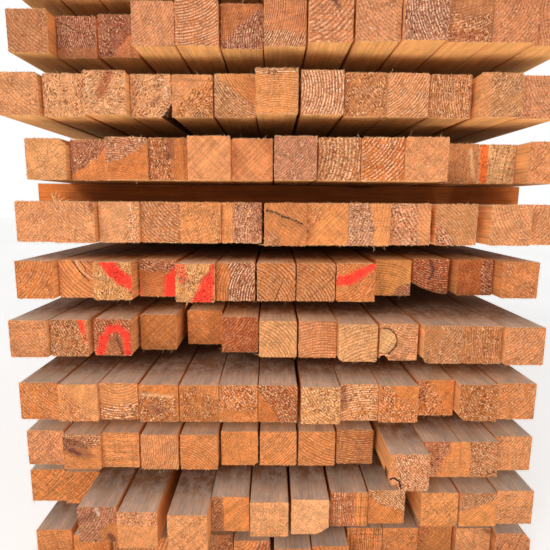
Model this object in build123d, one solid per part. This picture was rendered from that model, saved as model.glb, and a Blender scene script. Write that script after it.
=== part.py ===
"""Stick-stacked pack of rough-sawn square pine studs.

Eleven layers of thirteen studs lie on thin cross battens (stickers), which leave an air gap
under each layer. The studs run along Y and their uneven front ends face -Y. Z is up, and the
origin is under the middle of the pack, on the ground. All lengths are millimetres.
"""
from build123d import *
from math import sqrt
from typing import NamedTuple
import os

# Sawn stock
stud_width = 50.0
stud_height = 50.0
stud_length = 2400.0
arris = 1.2

# Stickers
sticker_thickness = 27.0
sticker_width = 50.0
stickers_per_gap = 5
sticker_setback = 330.0
sticker_spare = 4.0
sticker_arris = 1.0

# Stickers of the front line that lie nearer to the front ends, counted from the lowest
proud_stickers = {7}
proud_sticker_setback = 130.0

# Bark-side corners follow the log that the stud was sawn from
log_radius = 115.0


class Layer(NamedTuple):
    """inset: first stud's distance from the stickers' left ends. gaps: clear space before each
    further stud. reach: how far each front end stands out (+) or back (-), left to right."""
    inset: float
    gaps: tuple
    reach: tuple


# Top layer first
layers = [
    Layer(26, (2, 1, 3, 2, 2, 1, 3, 1, 2, 4, 1, 2),
          (-10, 0, 5, 10, 0, 5, 15, 10, 5, 0, 10, 5, 0)),
    Layer(28, (2, 4, 4, 2, 2, 1, 2, 3, 2, 1, 1, 2),
          (-30, -50, -45, -5, 0, -10, 0, 15, 20, 25, 20, 20, 10)),
    Layer(18, (4, 6, 1, 1, 3, 1, 4, 3, 1, 3, 7, 2),
          (-15, -20, -5, -20, -20, -15, 10, 5, -5, -5, -10, 0, -10)),
    Layer(47, (2, 3, 1, 1, 0.5, 2, 3, 1, 0.5, 10, 1, 1),
          (-15, -25, 0, -5, 15, -5, 20, 10, 15, 20, -35, -40, -10)),
    Layer(37, (1, 1.5, 0.5, 0.5, 0.5, 4, 0.5, 0.5, 2, 7, 17, 2),
          (0, 10, 0, -5, 0, -5, 30, 20, 20, 10, 10, 10, -5)),
    Layer(19, (2, 1, 3, 6, 1, 3, 2, 2, 9, 8, 9, 3),
          (-20, -30, -15, -40, -5, -15, -15, -15, -15, -55, -70, -60, -40)),
    Layer(10, (1, 6, 5, 11, 3, 2, 3, 1, 4, 5, 1, 2),
          (-10, -15, -20, -45, -70, -35, -15, -15, 0, -5, 5, 5, 10)),
    Layer(29, (2, 0.5, 3, 2, 0.5, 1, 5, 1, 0.5, 4, 2, 2),
          (10, 15, 10, 15, 15, 15, 15, 20, 10, 15, -5, 10, 5)),
    Layer(22, (3, 0.5, 4, 3, 4, 3, 3, 3, 8, 1, 0.5, 2),
          (-10, 0, -5, 0, 0, -10, -10, -10, -15, 45, 15, 15, 0)),
    Layer(5, (2, 0.5, 4, 14, 0.5, 2, 4, 4, 2, 21, 3, 2),
          (-40, -35, 40, 50, 55, 20, 30, 25, 10, 5, 10, 10, 5)),
    Layer(21, (7, 2, 2, 20, 2, 6, 1.5, 4.5, 1.5, 1.5, 4.5, 2.5),
          (-15, -5, -10, 0, -5, 5, 20, 15, -20, -20, -25, -20, -10)),
]


class Wane(NamedTuple):
    """A corner where the log's round side shows. side: -1 left or +1 right. level: -1 bottom or
    +1 top. across, up: how far it eats into the level face and the side face at the front.
    run: where it fades out."""
    side: int
    level: int
    across: float
    up: float
    run: float


# (layer from the top, place from the left) of the studs with a waned corner
wanes = {
    (0, 3): Wane(1, 1, 9, 9, 900),
    (2, 3): Wane(1, -1, 13, 17, 260),
    (3, 0): Wane(1, 1, 7, 7, 1200),
    (5, 10): Wane(-1, -1, 44, 16, 700),
    (6, 8): Wane(-1, -1, 4, 4, 500),
    (6, 10): Wane(-1, -1, 6, 6, 600),
    (7, 11): Wane(-1, -1, 9, 7, 900),
    (8, 5): Wane(1, -1, 6, 5, 400),
    (8, 9): Wane(-1, -1, 13, 13, 1500),
    (9, 7): Wane(1, -1, 17, 10, 800),
    (10, 12): Wane(1, 1, 11, 11, 1900),
}


class EndCheck(NamedTuple):
    """A drying crack in a front end. path: its points from the middle of the end, as shares of
    half the stud's width and height. width: how far it gapes. depth: how far in it runs."""
    path: tuple
    width: float
    depth: float


end_checks = {
    (1, 1): EndCheck(((-0.96, 0.72), (-0.52, 0.6), (-0.2, 0.36), (0.44, 0.2)), 1.3, 45),
    (2, 7): EndCheck(((-0.2, -0.28), (0.06, -0.06)), 1.2, 15),
    (3, 6): EndCheck(((-0.54, 0.14), (-0.22, -0.1)), 1.4, 25),
    (4, 6): EndCheck(((-0.88, 0.64), (-0.5, 0.56), (-0.12, 0.36), (0.24, 0.28), (0.76, 0.04)), 1.8, 60),
    (5, 4): EndCheck(((-0.92, 0.26), (0.1, -0.02)), 1.0, 30),
    (5, 6): EndCheck(((0.4, 0.24), (-0.12, -1.06)), 1.0, 50),
    (5, 7): EndCheck(((0.0, -0.56), (1.06, 0.38)), 1.0, 50),
    (6, 6): EndCheck(((-0.52, -0.44), (0.12, -0.04)), 0.8, 20),
    (8, 8): EndCheck(((-0.4, 0.62), (0.0, 0.36)), 1.5, 20),
}


class LooseKnot(NamedTuple):
    """A dead branch stub that has shrunk free of the wood round it. centre: shares of half the
    stud's width and height. groove: the gap round it. lost: radius of the piece broken out
    under it."""
    centre: tuple
    radius: float
    groove: float
    depth: float
    lost: float


loose_knots = {(6, 9): LooseKnot((-0.76, 0.06), 16.5, 1.1, 8, 7)}

layer_count = len(layers)
layer_pitch = stud_height + sticker_thickness


def layer_span(layer):
    """Distance from the stickers' left ends to the layer's right side."""
    return layer.inset + len(layer.reach) * stud_width + sum(layer.gaps)


sticker_length = max(layer_span(layer) for layer in layers) + sticker_spare
most_forward = max(max(layer.reach) for layer in layers)
most_backward = min(min(layer.reach) for layer in layers)
front_plane = -(stud_length - most_forward - most_backward) / 2


def wane_cutter(wane):
    """What the log's surface leaves out of a corner, for a stud centred on X and Z, front at Y 0."""
    corner = Vector(wane.side * stud_width / 2, 0, wane.level * stud_height / 2)
    on_level = corner - Vector(wane.side * wane.across, 0, 0)
    on_side = corner - Vector(0, 0, wane.level * wane.up)
    half_chord = (on_level - on_side).length / 2
    inward = Vector(-wane.side * wane.up, 0, -wane.level * wane.across).normalized()
    front_centre = (on_level + on_side) / 2 + inward * sqrt(log_radius ** 2 - half_chord ** 2)
    fade_centre = corner + inward * log_radius + Vector(0, wane.run, 0)
    log_axis = fade_centre - front_centre
    start = front_centre - log_axis * 0.1
    log = extrude(Plane(start, z_dir=log_axis) * Circle(log_radius), log_axis.length * 1.3)
    block = Box(2.2 * wane.across, wane.run * 1.02, 2.2 * wane.up)
    return Pos(corner.X, wane.run / 2, corner.Z) * block - log


def on_end(share_across, share_up):
    """A point on the front end from its shares of half the width and height."""
    return Vector(share_across * stud_width / 2, 0, share_up * stud_height / 2)


def check_cutter(check):
    """A crack that gapes in its middle and closes at both tips."""
    spots = [on_end(*share) for share in check.path]
    run = (spots[-1] - spots[0]).normalized()
    half_gape = Vector(run.Z, 0, -run.X) * check.width / 2
    middle = spots[1:-1] or [(spots[0] + spots[-1]) / 2]
    rim = [spots[0]] + [spot + half_gape for spot in middle]
    rim += [spots[-1]] + [spot - half_gape for spot in reversed(middle)]
    outline = make_face(Polyline(*rim, close=True))
    return extrude(outline, check.depth, dir=(0, 1, 0))


def knot_cutter(knot):
    """The groove round a loose knot, and the hollow where a piece broke out below it."""
    centre = on_end(*knot.centre)
    end = Plane(centre, z_dir=(0, 1, 0))
    outer = extrude(end * Circle(knot.radius + knot.groove), knot.depth)
    groove = outer - extrude(end * Circle(knot.radius), knot.depth)
    under = Vector(centre.X, 0, -stud_height / 2)
    hollow = extrude(Plane(under, z_dir=(0, 1, 0)) * Circle(knot.lost), 4 * knot.depth)
    return groove, hollow


def stud(key):
    """One stud, centred on X and Z, with its front end at Y 0."""
    section = Plane.XZ * Rectangle(stud_width, stud_height)
    section = chamfer(section.vertices(), arris)
    body = extrude(section, -stud_length)
    if key in wanes:
        body -= wane_cutter(wanes[key])
    if key in end_checks:
        body -= check_cutter(end_checks[key])
    if key in loose_knots:
        for cutter in knot_cutter(loose_knots[key]):
            body -= cutter
    return body


def stud_layer(index, layer):
    """The separate studs of one layer, each at its own place and reach."""
    base = (layer_count - 1 - index) * layer_pitch
    left = layer.inset - sticker_length / 2
    studs = []
    for place, reach in enumerate(layer.reach):
        if place:
            left += layer.gaps[place - 1]
        spot = Pos(left + stud_width / 2, front_plane - reach, base + stud_height / 2)
        studs.append(spot * stud((index, place)))
        left += stud_width
    return studs


def sticker_line(station):
    """One sticker in every gap, above each other at one station along the studs."""
    first = front_plane + sticker_setback + sticker_width / 2
    last = front_plane + stud_length - sticker_setback - sticker_width / 2
    along = first + (last - first) * station / (stickers_per_gap - 1)
    proud = front_plane + proud_sticker_setback + sticker_width / 2
    section = Plane.YZ * Rectangle(sticker_width, sticker_thickness)
    section = chamfer(section.vertices(), sticker_arris)
    sticker = extrude(section, sticker_length / 2, both=True)
    stickers = []
    for gap in range(layer_count - 1):
        height = stud_height + sticker_thickness / 2 + gap * layer_pitch
        near = station == 0 and gap + 1 in proud_stickers
        stickers.append(Pos(0, proud if near else along, height) * sticker)
    return stickers


def save(name, solids):
    export_step(Compound(children=[part.solid() for part in solids]), f"parts/{name}.step")


os.makedirs("parts", exist_ok=True)
for index, layer in enumerate(layers):
    save(f"stud_layer_{layer_count - index:02d}", stud_layer(index, layer))
for station in range(stickers_per_gap):
    save(f"sticker_line_{station + 1}", sticker_line(station))
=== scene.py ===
"""Looks for a stick-stacked pack of square pine studs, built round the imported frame."""

import math
import random
from typing import NamedTuple

import bmesh
import bpy
import numpy as np
from mathutils import Matrix, Vector, noise


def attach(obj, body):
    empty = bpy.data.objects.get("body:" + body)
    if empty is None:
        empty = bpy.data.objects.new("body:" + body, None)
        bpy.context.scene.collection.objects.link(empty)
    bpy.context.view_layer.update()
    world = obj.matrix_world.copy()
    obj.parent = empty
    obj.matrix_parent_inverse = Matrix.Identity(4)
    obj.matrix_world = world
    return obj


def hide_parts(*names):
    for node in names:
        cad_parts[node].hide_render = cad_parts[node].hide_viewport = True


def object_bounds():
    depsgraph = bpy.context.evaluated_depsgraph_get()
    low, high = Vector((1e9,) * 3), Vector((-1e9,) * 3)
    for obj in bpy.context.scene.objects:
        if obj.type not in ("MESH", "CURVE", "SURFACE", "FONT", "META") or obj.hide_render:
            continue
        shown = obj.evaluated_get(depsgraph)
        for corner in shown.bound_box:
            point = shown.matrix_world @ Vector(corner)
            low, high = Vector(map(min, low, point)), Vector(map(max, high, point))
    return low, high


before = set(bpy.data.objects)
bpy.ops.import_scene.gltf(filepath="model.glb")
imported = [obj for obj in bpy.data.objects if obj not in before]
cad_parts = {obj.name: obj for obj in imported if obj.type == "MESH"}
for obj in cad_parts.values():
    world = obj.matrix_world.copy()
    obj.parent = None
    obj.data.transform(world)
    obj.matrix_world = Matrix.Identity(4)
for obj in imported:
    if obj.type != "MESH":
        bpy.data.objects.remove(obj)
cad_low, cad_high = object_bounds()
cad_box = [list(cad_low), list(cad_high)]

MM = 0.001
LAYERS = 11
PLACES = 13


# Colours


def srgb(red, green, blue):
    """A colour written as 0-255 display numbers, as linear light."""
    return tuple(
        (c / 255 / 12.92 if c <= 10 else ((c / 255 + 0.055) / 1.055) ** 2.4)
        for c in (red, green, blue)
    )


TONES = {
    "salmon": srgb(220, 141, 86),
    "pink": srgb(216, 137, 89),
    "orange": srgb(217, 133, 70),
    "amber": srgb(213, 125, 60),
    "bright": srgb(225, 140, 76),
    "straw": srgb(225, 160, 96),
    "pale": srgb(228, 160, 100),
    "tan": srgb(199, 129, 76),
    "brown": srgb(180, 108, 61),
    "mauve": srgb(172, 102, 70),
    "rust": srgb(197, 110, 63),
    "cream": srgb(232, 180, 122),
    "rosy": srgb(226, 152, 98),
    "blush": srgb(238, 166, 114),
    "nut": srgb(198, 119, 64),
    "honey": srgb(193, 115, 55),
    "umber": srgb(184, 102, 46),
    "dusk": srgb(192, 124, 88),
    "sienna": srgb(180, 88, 34),
}
# A mark's colour and strength, its edge's softness in mm, and how much specks of wood break it.
MARKS = {
    "red": ((*srgb(250, 60, 42), 0.95), 4.0, 0.5),
    "faint": ((*srgb(246, 84, 60), 0.75), 4.5, 0.75),
    "paint": ((*srgb(248, 112, 34), 0.9), 2.0, 0.5),
    "crack": ((*srgb(58, 24, 14), 0.97), 0.35, 0.0),
    "hair": ((*srgb(96, 48, 26), 0.75), 0.5, 0.2),
    "chalk": ((*srgb(244, 220, 196), 0.8), 1.2, 0.9),
    "light": ((*srgb(240, 186, 136), 0.7), 2.5, 0.3),
    "stain": ((*srgb(92, 44, 40), 0.75), 2.0, 0.3),
    # Dark marks of dirt, also used as painted shadow in one end's corner.
    "dirt_and_shade": ((*srgb(128, 72, 42), 0.75), 3.0, 0.5),
    "resin": ((*srgb(216, 196, 172), 0.8), 1.0, 0.6),
    "rust": ((*srgb(168, 84, 46), 0.7), 2.5, 0.3),
    "shade": ((*srgb(118, 66, 52), 0.6), 6.0, 0.2),
}
MARKS_PER_END = 6
PLAIN_HATCH = (45, 0.3)  # saw marks' angle in degrees and strength


class End(NamedTuple):
    """How one sawn stud end looks; places and sizes are mm, from the middle of the end."""

    tone: str = "salmon"
    pith: tuple = (-60, 50)
    ring: float = 3.6  # width of a year ring
    lines: float = 0.4  # how dark the rings are
    fleck: float = 0.3  # how torn the fibre is
    zone: tuple = (0, 0, 0)  # middle and radius of a part with a tone of its own
    zone_tone: str = "mauve"
    hatch: tuple = PLAIN_HATCH
    marks: tuple = ()  # each one's kind, start, stop and width


def half(towards, offset):
    """A zone with a nearly straight edge: the side of the end that lies towards this angle."""
    turn = math.radians(towards)
    return (math.cos(turn) * (offset + 160), math.sin(turn) * (offset + 160), 160)


def trail(kind, start, *steps):
    """Marks end to end: where the first starts, then each one's stop and width."""
    marks = []
    for x, z, width in steps:
        marks.append((kind, *start, x, z, width))
        start = (x, z)
    return marks


ORDINARY = End("salmon", (-50, 50), 3.6, 0.4, 0.35)  # the last stud of some layers
ENDS = {}


def layer_ends(layer, *ends):
    """Takes in a layer's ends from left to right. None is for one that has to be drawn."""
    ENDS.update({(layer, place): end for place, end in enumerate(ends)})


# By layer from the top. The top layer, 0, shows no ends in the photograph.
layer_ends(
    1,
    End("tan", (60, 60), 4, 0.3),
    # The next end sits back in shade: its dark mauve tone is painted shade.
    End("mauve", (90, 20), 2.4, 0.3, 0.7, half(-90, 12), "tan", (70, 0.3), (
        *trail("crack", (-24, 18), (-13, 15, 1.4), (-5, 9, 1.4), (11, 5, 1.2)),
        ("chalk", -14, -14, -6, -16, 2))),
    # The next end's dark mauve tone is painted shade, and its lighter lower right part is painted light.
    End("mauve", (-60, 70), 3, 0.12, 0.5, half(-45, 10), "salmon"),
    End("rosy", (-55, 45), 2.9, 0.55, 0.2, marks=(("chalk", -21, 17, -16, 21, 1.5),)),
    End("salmon", (-25, 75), 3.1, 0.85, 0.5),
    End("nut", (85, -20), 2.8, 0.3, 0.6, half(-50, -3), "mauve", (95, 0.4)),
    End("salmon", (-90, 25), 2.5, 0.75, 0.5, half(-90, 8), "tan", marks=(
        ("dirt_and_shade", -8, 12, 11, 12, 1),)),
    End("salmon", (-50, 55), 4.4, 0.65, 0.45, marks=(
        ("stain", -4, 24, 4, 20, 6), ("stain", 2, 20, 8, 13, 4))),
    End("rosy", (55, 50), 3.6, 0.35, 0.25, marks=(
        ("chalk", -9, -11, -8, -12, 3), ("chalk", -3, -20, -2, -21, 3))),
    End("dusk", (85, 30), 3.2, 0.5, 1.0, hatch=(90, 0.4)),
    End("nut", (-30, 95), 3.0, 0.3, 0.7, half(90, 4), "tan", marks=(
        ("rust", -20, -17, 4, -20, 6),)),
    End("salmon", (-60, 40), 3.4, 0.4),
)
layer_ends(
    2,
    End("salmon", (60, 60), 3.6, 0.3, 0.4),
    End("rosy", (70, 40), 2.6, 0.08, 0.8, hatch=(90, 0.4)),
    End("rosy", (-60, 60), 3.4, 0.15, 0.85, marks=(
        ("chalk", -22, 16, -21, 2, 2.5), ("rust", 6, 22, -6, -2, 11))),
    End("rosy", (30, -70), 3.2, 0.12, 0.95, marks=(
        ("chalk", 12, 19, 14, 19, 3), ("chalk", 18, 12, 20, 2, 3), ("dirt_and_shade", 2, -8, 10, -2, 5))),
    End("salmon", (-70, 60), 3.2, 0.15, 0.7, half(-45, -4), "amber", marks=(
        ("dirt_and_shade", -12, 20, 14, 18, 2),)),
    End("tan", (60, 60), 2.8, 0.5, 0.5, half(55, 5), "orange"),
    End("bright", (5, -95), 2.5, 0.5, 1.0, half(90, 19), "tan", (0, 0.15)),
    End("pink", (-62, 4), 3.5, 0.75, 1.0, marks=(("crack", -4, -6, 1, -2, 0.9),)),
    End("nut", (60, 50), 3, 0.08, 1.0, hatch=(60, 0.3)),
    End("salmon", (-60, 50), 3.1, 0.8, 0.45),
    End("nut", (90, 10), 2.8, 0.25, 1.0, hatch=(90, 0.5)),
    End("tan", (-60, 55), 3, 0.35, 0.5, half(180, 12), "salmon"),
    End("pink", (60, 40), 3.4, 0.3, 0.4),
)
layer_ends(
    3,
    End("pale", (55, 60), 3, 0.15),
    End("bright", (-55, 55), 2.8, 0.35, 0.4, half(130, -2), "mauve"),
    End("amber", (-20, -80), 2.5, 0.4, 0.45, half(115, 2), "dusk"),
    End("honey", (-85, 5), 3, 0.18, 0.6, half(186, -2), "umber", (90, 0.4), (
        ("shade", 2, 22, 0, 4, 8),)),
    End("rosy", (-80, 60), 2.6, 0.06, 0.0, hatch=(45, 0.6)),
    End("rosy", (-80, -60), 2.8, 0.06, 0.05, half(50, 20), "tan", (45, 0.55)),
    End("dusk", (-60, 50), 2.4, 0.5, 0.4, marks=(("crack", -14, 4, -5, -3, 1),)),
    End("tan", (-75, 8), 4.4, 0.45, 0.9),
    End("amber", (-50, 45), 3.8, 0.7, 0.6, marks=(
        ("stain", 8, 20, 12, 10, 1.4), ("chalk", 2, 16, 16, 21, 2))),
    End("rosy", (60, 60), 2.3, 0.3, 0.15, marks=(("chalk", -1, -9, 2, -8, 2.5),)),
    End("tan", (-60, 40), 3, 0.15, 0.25, marks=(("light", 14, 18, 20, -16, 4),)),
    End("cream", (-60, 40), 3, 0.2, 0.6, hatch=(80, 0.7), marks=(
        ("paint", -17, 22, -16, -20, 11),)),
    End("salmon", (-60, 40), 3.4, 0.3),
)
layer_ends(
    4,
    End("salmon", (60, -60), 3.4, 0.3),
    # The next end's dark mark in its upper right corner is painted shadow.
    End("salmon", (55, 55), 3.2, 0.4, 0.35, marks=(("dirt_and_shade", 21, 20, 24, 16, 8),)),
    End("rosy", (60, -50), 3, 0.2, 0.5, half(-12, 10), "salmon", marks=(
        ("chalk", 14, 22, 17, 6, 2.5), ("chalk", 17, 4, 15, -22, 2))),
    End("nut", (60, 60), 3.8, 0.45, 0.5),
    End("orange", (-70, 40), 3, 0.3, hatch=(20, 0.5)),
    End("bright", (80, -15), 3, 0.2, 0.75, half(-6, -11), "dusk", (95, 0.4)),
    End("nut", (60, 60), 3.6, 0.35, 0.2, (-18, -20, 12), "brown", marks=(
        trail("crack", (-22, 16), (-12, 14, 2.6), (-3, 9, 2.8), (6, 7, 2.5), (20, 1, 2.2)))),
    End("bright", (-60, 55), 3, 0.2, 0.15, half(135, 8), "orange", (45, 0.5)),
    End("bright", (-70, 20), 3.4, 0.25, 0.6, half(187, -5), "dusk", (0, 0.3)),
    End("pink", (60, 45), 4.4, 0.3, 0.7, half(2, 8), "salmon"),
    End("tan", (-60, -50), 3.2, 0.45, 0.7, half(219, 13), "rust"),
    End("salmon", (60, 40), 3.6, 0.4),
    End("salmon", (-60, 40), 3.6, 0.4),
)
layer_ends(
    5,
    End("orange", (-60, 40), 3.6, 0.4),
    End("rosy", (60, 60), 4.4, 0.8, 0.2, half(52, 22), "mauve", marks=(
        *trail("crack", (-6, 26), (3, 10, 1.6), (15, -3, 1.6)), ("crack", 4, 26, 12, 10, 1.2),
        *trail("resin", (-2, 26), (8, 9, 1.6), (20, 0, 1.4)))),
    End("straw", (60, 30), 3, 0.1, 0.9, hatch=(80, 0.6), marks=(
        trail("red", (-8, 27), (2, 13, 19), (12, 4, 18), (26, -4, 18)))),
    End("nut", (20, 90), 3.4, 0.3, 0.6, half(90, 10), "mauve", marks=(
        *trail("red", (23, 12), (20, -2, 10)), *trail("red", (17, -2), (16, -24, 17)),
        ("faint", -23, -14, -22, -22, 6))),
    End("straw", (-60, 40), 3, 0.15, 0.9, hatch=(70, 0.6), marks=(
        ("faint", -20, 24, -15, 6, 16), ("red", 24, 24, 18, 4, 7), ("red", 17, 2, 12, -24, 20),
        ("red", 8, -12, 1, -25, 12), *trail("dirt_and_shade", (-22, 7), (0, -1, 3), (18, 12, 2.5)))),
    End("mauve", (65, -22), 3.4, 0.6, 0.7, half(180, 8), "orange"),
    End("tan", (-45, -45), 4, 0.85, 0.2, marks=(("crack", 10, 6, -1, -24, 0.9),)),
    End("tan", (-45, -45), 4, 0.8, 0.2, marks=(("crack", 0, -14, 24, 7, 0.9),)),
    End("orange", (-50, 50), 3.4, 0.4, 0.25, marks=(
        trail("red", (-27, 2), (-8, 4, 14), (6, 12, 14), (24, 23, 10)))),
    End("straw", (-20, -70), 3.2, 0.6, 0.35, (20, -26, 17), "mauve"),
    End("sienna", (20, 70), 3.2, 0.4, 0.8, marks=(
        ("stain", -2, 24, 3, 10, 6), ("stain", 3, 6, -1, -4, 5), ("hair", 2, 2, 22, -4, 1))),
    End("umber", (60, 60), 3.4, 0.3, 0.6, half(0, 8), "mauve"),
    End("salmon", (60, 60), 3.4, 0.3),
)
layer_ends(
    6,
    End("salmon", (60, 60), 3.4, 0.3),
    End("honey", (60, 50), 3.2, 0.2, 0.95, hatch=(70, 0.7), marks=(
        ("red", 17, 25, 19, 9, 8), ("faint", 19, 9, 21, -7, 6))),
    End("sienna", (60, 50), 3.4, 0.35, 0.5, (3, -10, 13), "brown", marks=(
        *trail("red", (-19, -26), (-12, -3, 12), (-3, 11, 10), (8, 13, 9), (17, 5, 10), (20, -26, 10)),
        ("stain", 5, 0, 12, -22, 4))),
    End("honey", (-60, -60), 3, 0.15, 0.15, hatch=(45, 0.6)),
    End("orange", (60, -60), 3, 0.15, 0.2, hatch=(-45, 0.6)),
    End("sienna", (-60, 60), 3.4, 0.5, 0.25),
    End("pale", (-45, -45), 4.2, 0.7, 0.2, marks=(("crack", -13, -11, 3, -1, 0.7),)),
    End("salmon", (10, -95), 3.8, 0.6, 0.25),
    End("pale", (35, -95), 4.2, 0.55, 0.3, half(180, 22), "cream"),
    End("rosy", (20, 60), 3.2, 0.5, 0.3, (-19, 1.5, 16.6), "cream", (60, 0.6), (
        *trail("crack", (-21, 18.8), (-10.5, 16.7, 2.2), (-4, 10, 2.2), (-1.6, 1.5, 2.2), (-4, -7, 2.2),
               (-12, -15, 2.4)), ("dirt_and_shade", -6, -20, 2, -25, 6))),
    End("tan", (-50, 50), 3.2, 0.45, 0.35, (-16, 14, 14), "tan"),
    End("honey", (90, 10), 3, 0.25, 0.5, hatch=(90, 0.35)),
    ORDINARY,
)
layer_ends(
    7,
    End("orange", (60, 60), 3.6, 0.4, 0.35),
    End("blush", (60, 60), 3, 0.4, 0.35, half(222, 1), "bright"),
    End("rosy", (0, 44), 3.6, 0.55, 0.8, half(-80, 4), "orange", marks=(
        ("stain", 18, -13, 20, -14, 4),)),
    End("honey", (80, -60), 3, 0.1, 0.7, half(80, 10), "bright", (30, 0.5), (
        ("shade", -8, -4, 4, -10, 8), ("light", -20, 12, 18, 9, 3),)),
    End("honey", (-90, 40), 3, 0.12, 0.35, half(60, 16), "salmon"),
    End("orange", (60, 60), 3.2, 0.1, 1.0, half(90, -10), "amber"),
    End("umber", (-60, -50), 3.2, 0.12, 0.9, half(215, 10), "amber"),
    End("pale", (55, 55), 3.4, 0.35, 1.0, hatch=(20, 0.5)),
    End("rosy", (10, -90), 3.2, 0.45, 1.0, marks=(("shade", -21, 20, -19, -4, 6),)),
    End("amber", (-70, -60), 3.2, 0.12, 0.9, half(50, 8), "bright", (45, 0.4)),
    End("amber", (60, -60), 3.2, 0.12, 0.8, half(30, 4), "bright"),
    End("honey", (60, 50), 3.2, 0.1, 0.9),
    ORDINARY,
)
layer_ends(
    8,
    End("pink", (-60, 60), 3.2, 0.3, 0.4, hatch=(45, 0.7)),
    End("orange", (20, 90), 3, 0.25, 0.8, half(95, 4), "brown", marks=(
        ("dirt_and_shade", -20, 16, 6, 8, 8), ("shade", -22, 4, 6, -4, 14), ("stain", -16, 2, -4, -3, 5))),
    End("bright", (10, -95), 2.8, 0.55, hatch=(0, 0.6)),
    End("salmon", (-90, 5), 2.8, 0.6, 0.2),
    End("orange", (-30, -50), 3.4, 0.6, 0.2),
    End("bright", (70, 60), 3.2, 0.3, 0.1),
    End("bright", (-60, 55), 3.2, 0.7, 0.2),
    End("orange", (35, 65), 3.8, 0.7, 0.2),
    End("honey", (5, 95), 3.2, 0.75, marks=(("crack", -9, 15, -1, 10, 1.4),)),
    End("pink", (60, 50), 2.8, 0.35, 0.9, half(180, 16), "salmon", marks=(
        *trail("crack", (-25, -9), (-19, -7, 2.2), (-12, -12, 2.8), (-10, -21, 2.8)),
        *trail("chalk", (-23, -12), (-17, -11, 1.8), (-14, -17, 1.8)), ("stain", -17, -17, -15, -22, 3.5))),
    End("rust", (-50, 50), 2.6, 0.25, 0.8, half(-25, 2), "bright"),
    End("nut", (60, 60), 3, 0.15, 1.0, half(180, 12), "bright"),
    ORDINARY,
)
layer_ends(
    9,
    End("amber", (-60, 60), 3.4, 0.3, hatch=(45, 0.8)),
    End("amber", (-60, 60), 3.4, 0.3, hatch=(45, 0.8)),
    End("mauve", (-80, 45), 3.2, 0.45, 0.4, (24, -16, 20), "honey", marks=(
        ("resin", -1, 23, 2, 14, 4), ("stain", 16, -16, 19, -22, 8), ("shade", -22, 6, -6, 14, 8))),
    End("salmon", (-60, 75), 2.8, 0.3, 0.5, half(90, 6), "pink"),
    End("salmon", (-70, 60), 2.6, 0.2, 0.35, hatch=(45, 0.6)),
    End("bright", (60, -70), 3.2, 0.45, 0.35, half(180, 8), "brown", (45, 0.5)),
    End("rosy", (60, 70), 3, 0.12, 0.28, hatch=(90, 0.4)),
    End("blush", (60, 60), 3, 0.08, 0.1),
    End("rust", (90, 5), 3.2, 0.4, 0.5, half(0, 8), "orange", (90, 0.9)),
    End("amber", (-60, -60), 2.8, 0.6, 0.7, half(66, 2), "tan"),
    End("bright", (-70, 70), 3.2, 0.2, hatch=(45, 0.55)),
    End("bright", (-60, 60), 2.8, 0.6, 0.5, half(110, 4), "brown"),
    ORDINARY,
)
# The lowest layer's ends are cut off by the photograph's lower edge.
layer_ends(
    10,
    None, None, None, None,
    End("brown", (60, 60), 3.4, 0.3, 0.5, half(-90, 0), "orange"),
    None, None, None,
    End("orange", (90, 5), 3.2, 0.3, 0.5, hatch=(90, 0.9)),
    End("bright", (-60, 60), 3.4, 0.3, 0.5),
    None,
    End("blush", (60, 60), 3.2, 0.5, marks=(("dirt_and_shade", 14, 24, 24, 18, 6),)),
)


def draw_end(rng):
    """A stud end that the photograph doesn't show, drawn at random."""
    turn, far = rng.uniform(0, 2 * math.pi), rng.uniform(18, 90)
    zone = half(rng.uniform(0, 360), rng.uniform(-12, 22)) if rng.random() < 0.5 else (0, 0, 0)
    return End(
        tone=rng.choice(("salmon", "salmon", "pink", "orange", "bright", "straw", "pale", "tan")),
        pith=(far * math.cos(turn), far * math.sin(turn)),
        ring=rng.uniform(2.6, 5),
        lines=rng.uniform(0.25, 0.7),
        fleck=rng.uniform(0.1, 0.6),
        zone=zone,
        zone_tone=rng.choice(("mauve", "amber", "rust", "pale")),
        hatch=(rng.uniform(0, 180), rng.uniform(0.1, 0.6)),
    )


# Solids out of the frame


def islands_of(node):
    """The node's separate solids as small bmeshes in mm with flat faces joined, left to right."""
    whole = bmesh.new()
    whole.from_mesh(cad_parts[node].data)
    bmesh.ops.remove_doubles(whole, verts=whole.verts, dist=1e-5)
    seen, found = set(), []
    for start in whole.verts:
        if start in seen:
            continue
        group, stack = [], [start]
        seen.add(start)
        while stack:
            vert = stack.pop()
            group.append(vert)
            for edge in vert.link_edges:
                other = edge.other_vert(vert)
                if other not in seen:
                    seen.add(other)
                    stack.append(other)
        one = bmesh.new()
        copies = {vert: one.verts.new(vert.co / MM) for vert in group}
        for face in dict.fromkeys(face for vert in group for face in vert.link_faces):
            one.faces.new([copies[vert] for vert in face.verts])
        one.normal_update()
        bmesh.ops.dissolve_limit(
            one, angle_limit=math.radians(1), verts=one.verts, edges=one.edges
        )
        found.append(one)
    whole.free()
    found.sort(key=lambda one: (round(min(v.co.x for v in one.verts)), min(v.co.z for v in one.verts)))
    return found


def extent(solid):
    """A solid's lowest and highest corner."""
    points = np.array([v.co for v in solid.verts])
    return points.min(0), points.max(0)


def cut_up(solid, axis, places):
    """Cuts every face of a solid along planes across one axis."""
    normal = Vector([float(i == axis) for i in range(3)])
    for place in places:
        bmesh.ops.bisect_plane(
            solid,
            geom=solid.verts[:] + solid.edges[:] + solid.faces[:],
            dist=1e-5,
            plane_co=normal * place,
            plane_no=normal,
        )


def steps(low, high, near, wide):
    """Places for cuts between two ends: close together near both, wide apart between."""
    found = [low + d for d in near] + [high - d for d in near]
    first, last = low + near[-1], high - near[-1]
    count = int((last - first) / wide)
    found += [first + (last - first) * i / count for i in range(1, count)]
    return found


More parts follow.
